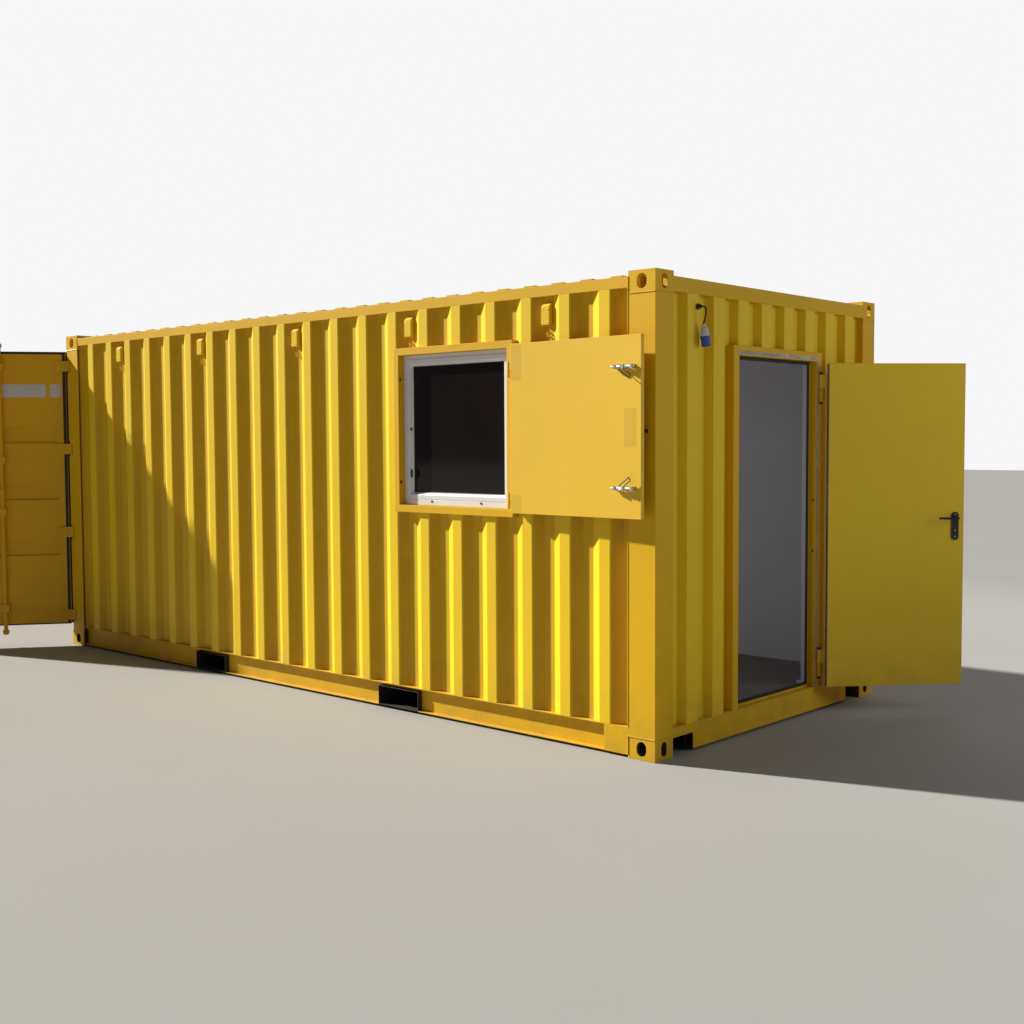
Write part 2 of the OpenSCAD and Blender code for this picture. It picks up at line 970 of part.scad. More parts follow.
module cargo_gasket(depth) {
    x0 = -leaf_outer + leaf_t;
    y0 = leaf_mid + 6;
    y1 = leaf_hinge + seal_lip;
    z1 = leaf_top + seal_rise;
    w = 60;
    difference() {
        box(x0, x0 + depth, y0, y1, leaf_low + 1, z1);
        box(x0 - 1, x0 + depth + 1, y0 + w, y1 - w, leaf_low + 1 + w, z1 - w);
    }
}

// everything on the right leaf is drawn closed and swung open about its pins
module cargo_swing() {
    translate([-cargo_pin_x, -cargo_pin_y, 0])
        rotate([0, 0, leaf_open])
            translate([cargo_pin_x, cargo_pin_y, 0])
                mirror([0, 1, 0])
                    children();
}

module cargo_leaf_right() {
    color(paint)
        cargo_swing()
            cargo_leaf(cargo_pin_r + 0.6);
}

module cargo_rods_right() {
    color(paint)
        cargo_swing()
            cargo_rods();
}

module cargo_gasket_right() {
    color(dark)
        cargo_swing()
            cargo_gasket(cargo_seal - 6);
}

module cargo_leaf_left() {
    color(paint)
        cargo_leaf(cargo_pin_r);
}

module cargo_rods_left() {
    color(paint)
        cargo_rods();
}

module cargo_gasket_left() {
    color(dark)
        cargo_gasket(cargo_seal);
}

// one ventilator on the window side
module vent(x) {
    y0 = -hy + side_depth;
    translate([x - vent_w / 2, 0, 0])
        rotate([90, 0, 90])
            linear_extrude(vent_w)
                polygon([[y0, vent_low], [y0 - vent_deep, vent_low],
                    [y0 - vent_deep, vent_low + vent_tall - 6],
                    [y0 - 8, vent_low + vent_tall + 14], [y0, vent_low + vent_tall + 14]]);
    translate([x + 8, y0, ring_z + 10])
        rotate([90, 0, 0])
            cylinder(r = 4, h = 22, $fn = 24);
    translate([x + 8, y0 - 20, ring_z - 14])
        cylinder(r = 4, h = 26, $fn = 24);
    translate([x + 8, y0, ring_z - 12])
        rotate([90, 0, 0])
            cylinder(r = 4, h = 22, $fn = 24);
}

module wall_vents() {
    color(paint)
        both_sides()
            for (i = [-2:2])
                vent(side_shift + i * vent_step * side_pitch);
}

module supply_gland() {
    color(dark)
        translate([crest_x, gland_y, gland_z])
            rotate([0, 90, 0]) {
                cylinder(r = gland_r + 4, h = 8, $fn = 6);
                cylinder(r = gland_r, h = gland_len - 6, $fn = 48);
                cylinder(r = gland_r - 4, h = gland_len, $fn = 48);
            }
}

// path of the cord from the gland down to the plug
cord_start = [crest_x + gland_len, gland_y, gland_z];
cord_end = [plug_x, plug_y, plug_z];
plug_dir = [0, sin(plug_tilt), -cos(plug_tilt)];
cord_a = cord_start + [44, 6, 0];
cord_b = cord_end - 55 * plug_dir + [8, 22, 0];

function bend(t) = pow(1 - t, 3) * cord_start + 3 * t * pow(1 - t, 2) * cord_a
    + 3 * t * t * (1 - t) * cord_b + pow(t, 3) * cord_end;

function unit(v) = v / norm(v);

function heading(t) = t <= 0 ? [1, 0, 0] : t >= 1 ? plug_dir
    : unit(bend(t + 0.01) - bend(t - 0.01));

function cord_ring(t) =
    let (d = heading(t), u = unit(cross(d, [0, 1, 0])), v = cross(d, u))
    [for (i = [0:cord_sides - 1])
        let (a = i * 360 / cord_sides)
        bend(t) + cord_r * (cos(a) * u + sin(a) * v)];

module supply_cord() {
    rings = [for (i = [0:cord_steps]) cord_ring(i / cord_steps)];
    points = [for (r = rings) each r];
    last = cord_steps * cord_sides;
    sides = [for (i = [0:cord_steps - 1], j = [0:cord_sides - 1])
        let (a = i * cord_sides, b = a + cord_sides, k = (j + 1) % cord_sides)
        [a + j, b + j, b + k, a + k]];
    caps = [[for (j = [0:cord_sides - 1]) j], [for (j = [cord_sides - 1:-1:0]) last + j]];
    color(dark)
        polyhedron(points, concat(caps, sides));
}

module supply_plug() {
    color([0.10, 0.22, 0.55])
        translate([plug_x, plug_y, plug_z])
            rotate([180 + plug_tilt, 0, 0]) {
                cylinder(r1 = 13, r2 = 15, h = 14, $fn = 48);
                translate([0, 0, 14])
                    cylinder(r1 = 17, r2 = 26, h = 50, $fn = 48);
                translate([0, 0, 64])
                    cylinder(r = 28, h = 8, $fn = 48);
                difference() {
                    translate([0, 0, 72])
                        cylinder(r = 25, h = 50, $fn = 48);
                    translate([0, 0, 84])
                        cylinder(r = 21, h = 39, $fn = 48);
                }
                for (a = [0, 120, 240])
                    rotate([0, 0, a])
                        translate([0, 12, 80])
                            cylinder(r = 2.5, h = 36, $fn = 24);
                translate([-5, -31, 66])
                    cube([10, 10, 40]);
            }
}

bottom_castings();
top_castings();
door_end_posts();
cargo_end_posts();
top_side_rails();
bottom_side_rails();
end_headers();
end_sills();
cross_members();
fork_pockets();
floor_boards();
window_wall_left();
window_wall_right();
window_wall_above();
window_wall_below();
back_wall();
end_wall_left();
end_wall_right();
end_wall_above();
roof_panel();
window_side_lining();
back_side_lining();
end_lining();
ceiling_lining();
door_reveal();
window_surround();
window_frame();
window_glass();
shutter_panel();
shutter_latches();
door_frame();
door_leaf();
door_gasket();
door_lock();
door_lever();
cargo_leaf_right();
cargo_rods_right();
cargo_gasket_right();
cargo_leaf_left();
cargo_rods_left();
cargo_gasket_left();
wall_vents();
supply_gland();
supply_cord();
supply_plug();
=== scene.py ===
import math
import random

import bmesh
import bpy
from mathutils import Matrix, Vector


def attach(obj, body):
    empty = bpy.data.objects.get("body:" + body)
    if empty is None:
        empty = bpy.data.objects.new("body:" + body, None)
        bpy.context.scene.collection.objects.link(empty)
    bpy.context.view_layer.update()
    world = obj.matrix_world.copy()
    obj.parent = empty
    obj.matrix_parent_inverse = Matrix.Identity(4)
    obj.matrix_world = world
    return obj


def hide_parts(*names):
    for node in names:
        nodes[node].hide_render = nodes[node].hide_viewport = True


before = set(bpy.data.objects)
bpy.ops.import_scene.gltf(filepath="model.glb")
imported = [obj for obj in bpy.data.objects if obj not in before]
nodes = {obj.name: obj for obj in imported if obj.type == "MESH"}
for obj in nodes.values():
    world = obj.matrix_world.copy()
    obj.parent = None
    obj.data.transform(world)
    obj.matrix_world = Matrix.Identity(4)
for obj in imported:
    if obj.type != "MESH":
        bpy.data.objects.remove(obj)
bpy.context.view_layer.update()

random.seed(11)
print("frame loaded:", len(nodes), "nodes")


class Wire:  # a socket that can be used in Python sums
    def __init__(self, graph, socket):
        self.graph = graph
        self.socket = socket

    def maths(self, operation, first, second):
        return self.graph.node("ShaderNodeMath", {"operation": operation},
                               {0: first, 1: second})

    def __add__(self, other):
        return self.maths("ADD", self, other)

    def __radd__(self, other):
        return self.maths("ADD", other, self)

    def __sub__(self, other):
        return self.maths("SUBTRACT", self, other)

    def __rsub__(self, other):
        return self.maths("SUBTRACT", other, self)

    def __mul__(self, other):
        return self.maths("MULTIPLY", self, other)

    def __rmul__(self, other):
        return self.maths("MULTIPLY", other, self)


def rgba(colour):
    return (*colour, 1.0)


class Graph:  # the nodes of a material or of the world
    def __init__(self, owner):
        owner.use_nodes = True
        self.tree = owner.node_tree
        self.tree.nodes.clear()

    def node(self, kind, settings=None, values=None, out=0):
        made = self.tree.nodes.new(kind)
        for key, value in (settings or {}).items():
            setattr(made, key, value)
        for key, value in (values or {}).items():
            if isinstance(value, Wire):
                self.tree.links.new(value.socket, made.inputs[key])
            else:
                made.inputs[key].default_value = value
        return Wire(self, made.outputs[out]) if made.outputs else None


class Finish(Graph):  # one material
    def __init__(self, name, **constants):
        self.material = bpy.data.materials.new(name)
        super().__init__(self.material)
        self.constants = constants
        self.place = self.node("ShaderNodeTexCoord", out="Object")
        self.facing = self.node("ShaderNodeTexCoord", out="Normal")

    def noise(self, scale, detail=3.0, rough=0.5, where=None):
        return self.node("ShaderNodeTexNoise", None,
                         {"Scale": scale, "Detail": detail, "Roughness": rough,
                          "Vector": where or self.place})

    def stretched(self, factors):
        return self.node("ShaderNodeVectorMath", {"operation": "MULTIPLY"},
                         {0: self.place, 1: factors})

    def axis(self, letter, source=None):
        return self.node("ShaderNodeSeparateXYZ", None, {0: source or self.place}, letter)

    def span(self, value, low, high, start=0.0, end=1.0):  # value low..high becomes start..end
        return self.node("ShaderNodeMapRange", {"clamp": True},
                         {"Value": value, "From Min": low, "From Max": high,
                          "To Min": start, "To Max": end})

    def mix(self, amount, first, second):
        return self.node("ShaderNodeMix", {"data_type": "RGBA"},
                         {0: amount, 6: first, 7: second}, 2)

    def bump(self, height, distance, strength=1.0, under=None):
        values = {"Height": height, "Distance": distance, "Strength": strength}
        if under:
            values["Normal"] = under
        return self.node("ShaderNodeBump", None, values)

    def patch(self, xLow, xHigh, zLow, zHigh, soft=0.004):  # rectangle seen from the side
        x, z = self.axis("X"), self.axis("Z")
        return (self.span(x, xLow, xLow + soft) * self.span(x, xHigh, xHigh - soft)
                * self.span(z, zLow, zLow + soft) * self.span(z, zHigh, zHigh - soft))

    def rounded(self, radius):
        return self.node("ShaderNodeBevel", {"samples": 4}, {"Radius": radius})

    def edges(self, roundNormal):  # 1 where the surface turns a corner
        flat = self.node("ShaderNodeNewGeometry", out="True Normal")
        same = self.node("ShaderNodeVectorMath", {"operation": "DOT_PRODUCT"},
                         {0: roundNormal, 1: flat}, 1)
        return self.span(same, 0.985, 0.86)

    def wear(self, **sockets):
        values = {key.replace("_", " "): value
                  for key, value in {**self.constants, **sockets}.items()}
        shader = self.node("ShaderNodeBsdfPrincipled", None, values)
        self.node("ShaderNodeOutputMaterial", None, {"Surface": shader})
        return self.material


yellows = {  # base colour of each painted group
    "frameYellow": (0.735, 0.432, 0.003),
    "sheetYellow": (0.850, 0.572, 0.010),
    # roof: darker than the wall sheet, painted shade that keeps the top from washing out under the
    # key light
    "roofShadedYellow": (0.620, 0.405, 0.020),
    "shutterYellow": (0.800, 0.505, 0.035),
    # door leaf: lighter than the wall sheet, painted light for the leaf that stands in shade
    "leafLitYellow": (0.880, 0.605, 0.034),
    # cargo leaves: darker and more orange than the wall sheet, painted shade for the open leaf in
    # shade
    "cargoShadedYellow": (0.700, 0.385, 0.008),
}
# paint wear and dirt, together with the painted shade of the wave valleys and of the recesses
paintWearAndShade = {
    "fade": 0.07,        # how far the broad fading goes
    "runs": 0.055,       # rain runs down the sides
    "dust": (0.50, 0.40, 0.22),
    "mud": (0.20, 0.145, 0.085),
    # near-black painted shade inside the holes of the castings and the cut-outs of the sills
    "recessShadeColour": (0.014, 0.012, 0.010),
    "primer": (0.115, 0.050, 0.030),
    "splashTop": 0.42,   # height of the road splash in metres
    "peel": 0.00012,     # depth of the orange peel
    "paintedLeeShade": (0.69, 0.57, 0.41),   # painted shade: tint of the wave valleys and lee slopes
}


def scaled(colour, factor):
    return rgba([c * factor for c in colour])


def enamel(name, base, wearAmount=0.25, sag=0.0035, patches=(), roof=False, waves=False, inner=None):
    f = Finish(name, Coat_Weight=0.04, Coat_Roughness=0.22, Specular_IOR_Level=0.25)
    broad = f.noise(0.55, 3.0, 0.55)
    blotch = f.noise(7.0, 5.0, 0.6)
    grit = f.noise(85.0, 3.0, 0.65)
    runs = f.noise(1.0, 5.0, 0.6, f.stretched((16.0, 16.0, 0.55)))
    up = f.axis("Z", f.facing)
    wearAndShade = paintWearAndShade
    colour = f.mix(f.span(broad, 0.32, 0.68), scaled(base, 1 - wearAndShade["fade"]),
                   scaled(base, 1 + 0.5 * wearAndShade["fade"]))
    colour = f.mix(f.span(blotch, 0.42, 0.75) * 0.10, colour, scaled(base, 0.72))
    upright = f.span(up, 0.4, 0.1)
    colour = f.mix(f.span(runs, 0.55, 0.82) * upright * wearAndShade["runs"], colour,
                   rgba(wearAndShade["dust"]))
    colour = f.mix(f.span(runs, 0.36, 0.20) * upright * wearAndShade["runs"], colour,
                   scaled(base, 0.45))
    for box, amount in patches:
        colour = f.mix(f.patch(*box) * amount, colour, scaled(base, 0.70))
    if waves:  # painted shade: darker in the valleys and on the slopes that face the door end
        deep = f.span(f.node("ShaderNodeMath", {"operation": "ABSOLUTE"}, {0: f.axis("Y")}),
                      1.2185, 1.2120)
        paintedLeeShade = deep * f.span(f.axis("X", f.facing), -0.25, 0.12)
        overlay = [c * t for c, t in zip(base, wearAndShade["paintedLeeShade"])]
        colour = f.mix(paintedLeeShade * (0.86 + 0.14 * f.span(blotch, 0.3, 0.7)), colour, rgba(overlay))
    if inner is not None:  # painted shade: near black on the faces behind the outer faces, inside holes and cut-outs below 0.15 m, from this X onwards
        x, y = [f.node("ShaderNodeMath", {"operation": "ABSOLUTE"}, {0: f.axis(letter)})
                for letter in "XY"]
        recessShadeMask = (f.span(x, 3.0275, 3.0240) * f.span(y, 1.2175, 1.2140)
                  * f.span(f.axis("Z"), 0.150, 0.148) * f.span(f.axis("X"), inner, inner + 0.01))
        colour = f.mix(recessShadeMask * 0.94, colour, rgba(wearAndShade["recessShadeColour"]))
    # dust settles where the surface looks up, splash near the ground
    settled = f.span(up, 0.55, 0.98) * f.span(blotch, 0.30, 0.72)
    colour = f.mix(settled * (0.42 if roof else 0.26), colour, rgba(wearAndShade["dust"]))
    splash = f.span(f.axis("Z"), wearAndShade["splashTop"], 0.02) * f.span(blotch, 0.35, 0.78)
    colour = f.mix(splash * 0.34, colour, rgba(wearAndShade["mud"]))
    soft = f.rounded(0.0035)
    edge = f.edges(soft)
    chips = edge * f.span(grit, 0.56, 0.66) * wearAmount
    colour = f.mix(chips, colour, rgba(wearAndShade["primer"]))
    rough = 0.40 + 0.16 * blotch + 0.22 * settled + 0.18 * splash + 0.12 * grit
    skin = f.bump(f.noise(300.0, 2.0), wearAndShade["peel"], 0.7, soft)
    skin = f.bump(f.noise(2.1, 2.0), sag, 0.5, skin)
    skin = f.bump(f.noise(26.0, 3.0), 0.0004, 0.6, skin)
    return f.wear(Base_Color=colour, Roughness=rough, Normal=skin)


def underseal():  # black coating on the beams and in the fork pockets; in the pockets the black is partly painted shade for their deep insides
    f = Finish("underseal", Specular_IOR_Level=0.35)
    grain = f.noise(46.0, 5.0, 0.65)
    cake = f.noise(5.0, 4.0, 0.6)
    colour = f.mix(f.span(cake, 0.42, 0.72), rgba((0.016, 0.015, 0.014)),
                   rgba((0.060, 0.050, 0.038)))
    colour = f.mix(f.span(grain, 0.60, 0.74) * 0.5, colour, rgba((0.11, 0.095, 0.075)))
    return f.wear(Base_Color=colour, Roughness=0.62 + 0.25 * grain,
                  Normal=f.bump(grain, 0.0015, 0.6, f.rounded(0.003)))


def floorPly():  # coated plywood in sheets
    f = Finish("floorPly", Specular_IOR_Level=0.4)
    grain = f.noise(1.0, 6.0, 0.62, f.stretched((3.0, 60.0, 20.0)))
    scuff = f.noise(4.0, 5.0, 0.7)
    sheets = f.node("ShaderNodeTexBrick", {"offset": 0.5},
                    {"Vector": f.place, "Scale": 1.0, "Mortar Size": 0.0022,
                     "Brick Width": 2.44, "Row Height": 1.16, "Mortar Smooth": 0.2}, "Fac")
    colour = f.mix(grain, rgba((0.105, 0.088, 0.080)), rgba((0.175, 0.152, 0.138)))
    colour = f.mix(f.span(scuff, 0.55, 0.75) * 0.4, colour, rgba((0.21, 0.19, 0.165)))
    colour = f.mix(sheets, colour, rgba((0.015, 0.012, 0.010)))
    high = grain * 0.4 - sheets * 2.0
    return f.wear(Base_Color=colour, Roughness=0.48 + 0.25 * scuff,
                  Normal=f.bump(high, 0.0006, 0.6))


def wallBoard():  # grey laminate boards with fine joints
    f = Finish("wallBoard", Specular_IOR_Level=0.4)
    speck = f.noise(210.0, 3.0, 0.7)
    shade = f.noise(1.3, 3.0, 0.5)
    x = f.axis("X")
    step = f.node("ShaderNodeMath", {"operation": "PINGPONG"}, {0: x + 40.03, 1: 0.61})
    joint = f.span(step, 0.0030, 0.0012)
    colour = f.mix(f.span(shade, 0.3, 0.7), rgba((0.340, 0.330, 0.345)),
                   rgba((0.385, 0.375, 0.390)))
    colour = f.mix(f.span(speck, 0.45, 0.7) * 0.35, colour, rgba((0.250, 0.243, 0.256)))
    colour = f.mix(joint * 0.8, colour, rgba((0.09, 0.088, 0.09)))
    return f.wear(Base_Color=colour, Roughness=0.52 + 0.12 * speck,
                  Normal=f.bump(speck - joint * 3.0, 0.0004, 0.6))


def paleBoard():  # ceiling
    f = Finish("paleBoard", Specular_IOR_Level=0.4)
    speck = f.noise(160.0, 3.0, 0.6)
    stain = f.noise(2.0, 4.0, 0.6)
    colour = f.mix(f.span(stain, 0.35, 0.75), rgba((0.56, 0.56, 0.55)),
                   rgba((0.47, 0.465, 0.45)))
    return f.wear(Base_Color=colour, Roughness=0.42 + 0.15 * stain,
                  Normal=f.bump(speck, 0.0002, 0.5, f.rounded(0.001)))


def whitePvc():
    f = Finish("whitePvc", Coat_Weight=0.25, Coat_Roughness=0.12)
    overlay = f.noise(6.0, 5.0, 0.6)
    fine = f.noise(240.0, 2.0)
    low = f.span(f.axis("Z"), 1.40, 1.31)
    # the blue cast of the PVC colour is painted shade, standing for the cool light on the frame in
    # shade
    colour = f.mix(f.span(overlay, 0.45, 0.75) * 0.35, rgba((0.77, 0.79, 0.86)),
                   rgba((0.68, 0.69, 0.73)))
    colour = f.mix(low * f.span(overlay, 0.35, 0.7) * 0.25, colour, rgba((0.52, 0.50, 0.45)))
    return f.wear(Base_Color=colour, Roughness=0.24 + 0.18 * overlay,
                  Normal=f.bump(fine, 0.00008, 0.5, f.rounded(0.0012)))


def shadedPane():  # double glazing as an opaque dark sheet; its dark colour is painted shade for the unlit room behind
    f = Finish("shadedPane", Specular_IOR_Level=0.22, IOR=1.45)
    smear = f.noise(3.0, 5.0, 0.6, f.stretched((1.0, 1.0, 0.4)))
    colour = f.mix(f.span(smear, 0.3, 0.8), rgba((0.0085, 0.0060, 0.0058)),
                   rgba((0.0115, 0.0082, 0.0080)))
    return f.wear(Base_Color=colour, Roughness=f.span(smear, 0.35, 0.75, 0.035, 0.11),
                  Normal=f.bump(f.noise(1.2, 1.0), 0.0008, 0.25))


def platedSteel(name, bolts=()):  # dark wire beyond the bolts, where bolts are given
    f = Finish(name, Specular_IOR_Level=0.5)
    cloud = f.noise(38.0, 4.0, 0.6)
    rub = f.noise(1.0, 3.0, 0.5, f.stretched((30.0, 30.0, 400.0)))
    colour = f.mix(f.span(cloud, 0.35, 0.7), rgba((0.66, 0.67, 0.68)),
                   rgba((0.48, 0.49, 0.50)))
    metal = f.span(cloud, 0.25, 0.8, 0.95, 0.72)
    if bolts:
        z = f.axis("Z")
        near = sum(f.span(z, at - 0.0125, at - 0.0110) * f.span(z, at + 0.0125, at + 0.0110)
                   for at in bolts)
        colour = f.mix(near, rgba((0.030, 0.026, 0.020)), colour)
        metal = metal * near
    return f.wear(Base_Color=colour, Metallic=metal, Roughness=0.26 + 0.22 * cloud,
                  Normal=f.bump(rub, 0.00006, 0.6))


def rubberSeal(name="rubberSeal", tone=0.018):
    f = Finish(name, Specular_IOR_Level=0.35)
    bloom = f.noise(18.0, 4.0, 0.6)
    fine = f.noise(320.0, 2.0)
    colour = f.mix(f.span(bloom, 0.4, 0.8), rgba((tone, tone, tone * 1.05)),
                   rgba((tone * 2.4, tone * 2.4, tone * 2.3)))
    return f.wear(Base_Color=colour, Roughness=0.55 + 0.25 * bloom,
                  Normal=f.bump(fine, 0.0002, 0.6))


def mouldedPlastic(name, low, high, rough=0.34):
    f = Finish(name, Specular_IOR_Level=0.5)
    cloud = f.noise(26.0, 4.0, 0.6)
    grain = f.noise(700.0, 2.0)
    colour = f.mix(f.span(cloud, 0.35, 0.75), rgba(low), rgba(high))
    return f.wear(Base_Color=colour, Roughness=rough + 0.16 * cloud,
                  Normal=f.bump(grain, 0.00005, 0.7, f.rounded(0.0008)))


def studioFloor():
    f = Finish("studioFloor", Specular_IOR_Level=0.2)
    cloud = f.noise(0.35, 4.0, 0.5)
    return f.wear(Base_Color=f.mix(cloud, rgba((0.36, 0.36, 0.36)), rgba((0.39, 0.39, 0.39))),
                  Roughness=0.75 + 0.1 * cloud)


shutterMarks = [  # rectangles where something was once stuck on
    ((2.058, 2.142, 2.040, 2.246), 0.55),
    ((2.884, 2.972, 1.665, 1.872), 0.50),
    ((2.058, 2.140, 1.294, 1.395), 0.45),
]

finish = {
    "frame": enamel("frameEnamel", yellows["frameYellow"], 0.50, 0.0015),
    # the castings and sills carry the painted shade in their holes and cut-outs
    "casting": enamel("castingEnamel", yellows["frameYellow"], 0.50, 0.0015, inner=-4.0),
    "sill": enamel("sillEnamel", yellows["frameYellow"], 0.50, 0.0015, inner=2.90),
    "sheet": enamel("sheetEnamel", yellows["sheetYellow"], 0.05, 0.0040),
    "wall": enamel("wallEnamel", yellows["sheetYellow"], 0.05, 0.0040, waves=True),
    "roof": enamel("roofEnamel", yellows["roofShadedYellow"], 0.10, 0.0040, roof=True),
    "shutter": enamel("shutterEnamel", yellows["shutterYellow"], 0.20, 0.0012, shutterMarks),
    "leaf": enamel("leafEnamel", yellows["leafLitYellow"], 0.15, 0.0014),
    "cargo": enamel("cargoEnamel", yellows["cargoShadedYellow"], 0.40, 0.0030),
    "underseal": underseal(),
    "floor": floorPly(),
    "board": wallBoard(),
    "pale": paleBoard(),
    "pvc": whitePvc(),
    "pane": shadedPane(),
    "zinc": platedSteel("zincPlate"),
    "latch": platedSteel("latchSteel", (1.450, 2.085)),
    # reveal trim: darker and bluer than the trim itself, painted shade for the reveal that lies in
    # shade
    "reveal": mouldedPlastic("revealTrim", (0.38, 0.37, 0.41), (0.43, 0.42, 0.46), 0.45),
    "rubber": rubberSeal(),
    "cable": rubberSeal("cableSheath", 0.012),
    "black": mouldedPlastic("blackNylon", (0.010, 0.010, 0.013), (0.024, 0.024, 0.028)),
    "strip": rubberSeal("paleStrip", 0.16),
    # pale lip: painted highlight along the door frame's front edges, partly light sealant
    "lip": rubberSeal("paleLipHighlight", 0.30),
    "plugGrey": mouldedPlastic("plugGrey", (0.50, 0.52, 0.57), (0.60, 0.62, 0.66), 0.4),
    "plugBlue": mouldedPlastic("plugBlue", (0.010, 0.050, 0.330), (0.020, 0.080, 0.420)),
    "label": mouldedPlastic("plainLabel", (0.50, 0.50, 0.54), (0.58, 0.58, 0.62), 0.45),
}
print("finishes made:", len(finish))

nodeFinish = {
    "casting": ["bottom_castings"],
    "sill": ["end_sills"],
    "frame": ["top_castings", "door_end_posts", "cargo_end_posts", "top_side_rails",
              "bottom_side_rails", "end_headers", "window_surround", "door_frame"],
    "wall": ["window_wall_left", "window_wall_right", "window_wall_above",
             "window_wall_below", "back_wall"],
    "sheet": ["end_wall_left", "end_wall_right", "end_wall_above", "wall_vents"],
    "roof": ["roof_panel"],
    "shutter": ["shutter_panel"],
    "leaf": ["door_leaf"],
    "cargo": ["cargo_leaf_right", "cargo_rods_right", "cargo_leaf_left", "cargo_rods_left"],
    "underseal": ["cross_members", "fork_pockets"],
    "floor": ["floor_boards"],
    "board": ["window_side_lining", "back_side_lining", "end_lining"],
    "pale": ["ceiling_lining"],
    "reveal": ["door_reveal"],
    "pane": ["window_glass"],
    "latch": ["shutter_latches"],
    "rubber": ["cargo_gasket_right", "cargo_gasket_left", "door_gasket"],
    "black": ["door_lock", "door_lever", "supply_gland"],
}


def paint(node, material):
    data = nodes[node].data
    data.materials.clear()
    data.materials.append(material)


for key, names in nodeFinish.items():
    for name in names:
        paint(name, finish[key])


def addPiece(name, mesh, material, body, smooth=False):
    bmesh.ops.recalc_face_normals(mesh, faces=mesh.faces)
    data = bpy.data.meshes.new(name)
    mesh.to_mesh(data)
    mesh.free()
    data.materials.append(material)
    for face in data.polygons:
        face.use_smooth = smooth
    piece = bpy.data.objects.new(name, data)
    bpy.context.scene.collection.objects.link(piece)
    if smooth:
        split = piece.modifiers.new("crease", "EDGE_SPLIT")
        split.split_angle = math.radians(38)
    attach(piece, body)
    return piece


def loft(mesh, rings, closed=True, caps=True, loop=False):
    # rings of points joined in order; closed joins each ring round, loop joins last to first
    made = [[mesh.verts.new(p) for p in ring] for ring in rings]
    count = len(rings[0])
    pairs = list(zip(made, made[1:]))
    if loop:
        pairs.append((made[-1], made[0]))
    for low, high in pairs:
        for i in range(count if closed else count - 1):
            j = (i + 1) % count
            mesh.faces.new((low[i], low[j], high[j], high[i]))
    if caps and not loop:
        mesh.faces.new(made[0][::-1])
        mesh.faces.new(made[-1])


def across(direction):
    along = Vector(direction).normalized()
    helper = Vector((0, 0, 1)) if abs(along.z) < 0.9 else Vector((1, 0, 0))
    side = along.cross(helper).normalized()
    return along, side, along.cross(side)


def lathe(mesh, base, direction, outline, sides=28):
    # outline is a list of (distance along, radius)
    along, side, other = across(direction)
    rings = []
    for reach, radius in outline:
        rings.append([Vector(base) + along * reach
                      + (side * math.cos(a) + other * math.sin(a)) * max(radius, 1e-5)
                      for a in [2 * math.pi * i / sides for i in range(sides)]])
    loft(mesh, rings)


def tube(mesh, points, radii, sides=12):
    rings = []
    side = None
    for i, point in enumerate(points):
        ahead = points[min(i + 1, len(points) - 1)] - points[max(i - 1, 0)]
        along = ahead.normalized()
        if side is None:
            side = across(along)[1]
        side = (side - along * side.dot(along)).normalized()
        other = along.cross(side)
        rings.append([point + (side * math.cos(a) + other * math.sin(a)) * radii[i]
                      for a in [2 * math.pi * k / sides for k in range(sides)]])
    loft(mesh, rings)


def mitredRing(mesh, xLow, xHigh, zLow, zHigh, front, outline):
    # outline is a list of (inward, back) swept round a rectangle that faces -Y
    rings = []
    for sx, sz in ((0, 0), (1, 0), (1, 1), (0, 1)):
        ring = []
        for inward, back in outline:
            x = xHigh - inward if sx else xLow + inward
            z = zHigh - inward if sz else zLow + inward
            ring.append(Vector((x, front + back, z)))
        rings.append(ring)
    loft(mesh, rings, loop=True)


def softBox(mesh, low, high, edge=0.0015):
    # box with its edges taken off
    made = bmesh.ops.create_cube(mesh, size=1.0)
    size = [h - l for l, h in zip(low, high)]
    middle = Vector([(l + h) / 2 for l, h in zip(low, high)])
    for v in made["verts"]:
        v.co = Vector([c * s for c, s in zip(v.co, size)]) + middle
    edges = list({e for v in made["verts"] for e in v.link_edges})
    bmesh.ops.bevel(mesh, geom=edges, offset=min(edge, min(size) * 0.3), segments=2,
                    affect="EDGES", profile=0.5)


def domeHead(mesh, place, direction, radius, high):
    lathe(mesh, place, direction, [(-0.0004, radius), (high * 0.25, radius),
                                   (high * 0.7, radius * 0.78), (high, radius * 0.3),
                                   (high, 0.0)], 14)


window = {
    "left": 1.086, "right": 1.998, "low": 1.308, "high": 2.232, "front": -1.199,
    "sashIn": 0.026, "sashRaise": 0.036, "capZ": 1.334, "capX": (1.335, 1.751),
    "catches": ((1.502, 0.025), (1.777, 0.009)),
}


